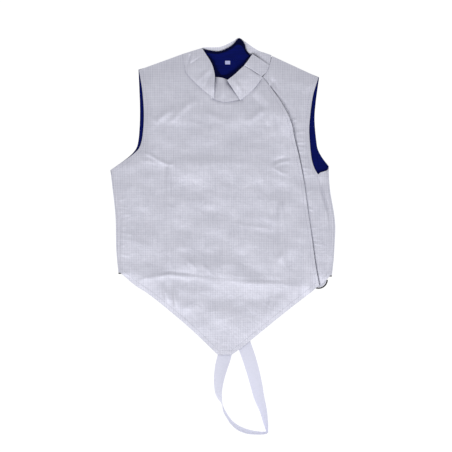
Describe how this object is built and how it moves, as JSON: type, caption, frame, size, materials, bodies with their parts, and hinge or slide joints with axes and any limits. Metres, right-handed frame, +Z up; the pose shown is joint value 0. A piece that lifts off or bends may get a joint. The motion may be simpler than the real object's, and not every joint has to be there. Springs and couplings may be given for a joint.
{
  "type": "fencing lame",
  "caption": "Sleeveless conductive fencing vest laid flat, front up, with a stand collar, an overlapping side closure, a pointed front and an elastic crotch strap.",
  "frame": {"origin": "middle of the bounding box, on the surface that the garment lies on", "axes": "+X to the wearer's left with the front up, +Y from the point to the collar, +Z up off the surface"},
  "size_m": [0.4945, 0.8711, 0.03],
  "materials": {
    "lame": "satin",
    "lining": "satin",
    "binding": "matte",
    "webbing": "matte",
    "label": "satin"
  },
  "bodies": {
    "root": {"front_main": "lame", "front_side": "lame", "back": "lame", "back_hem_binding": "binding", "back_lining": "lining", "collar_front": "lame", "collar_side": "lame", "collar_back": "lame", "collar_lining": "lining", "neck_label": "label", "placket_guard": "lame", "guard_binding": "binding", "crotch_strap": "webbing"}
  },
  "joints": []
}
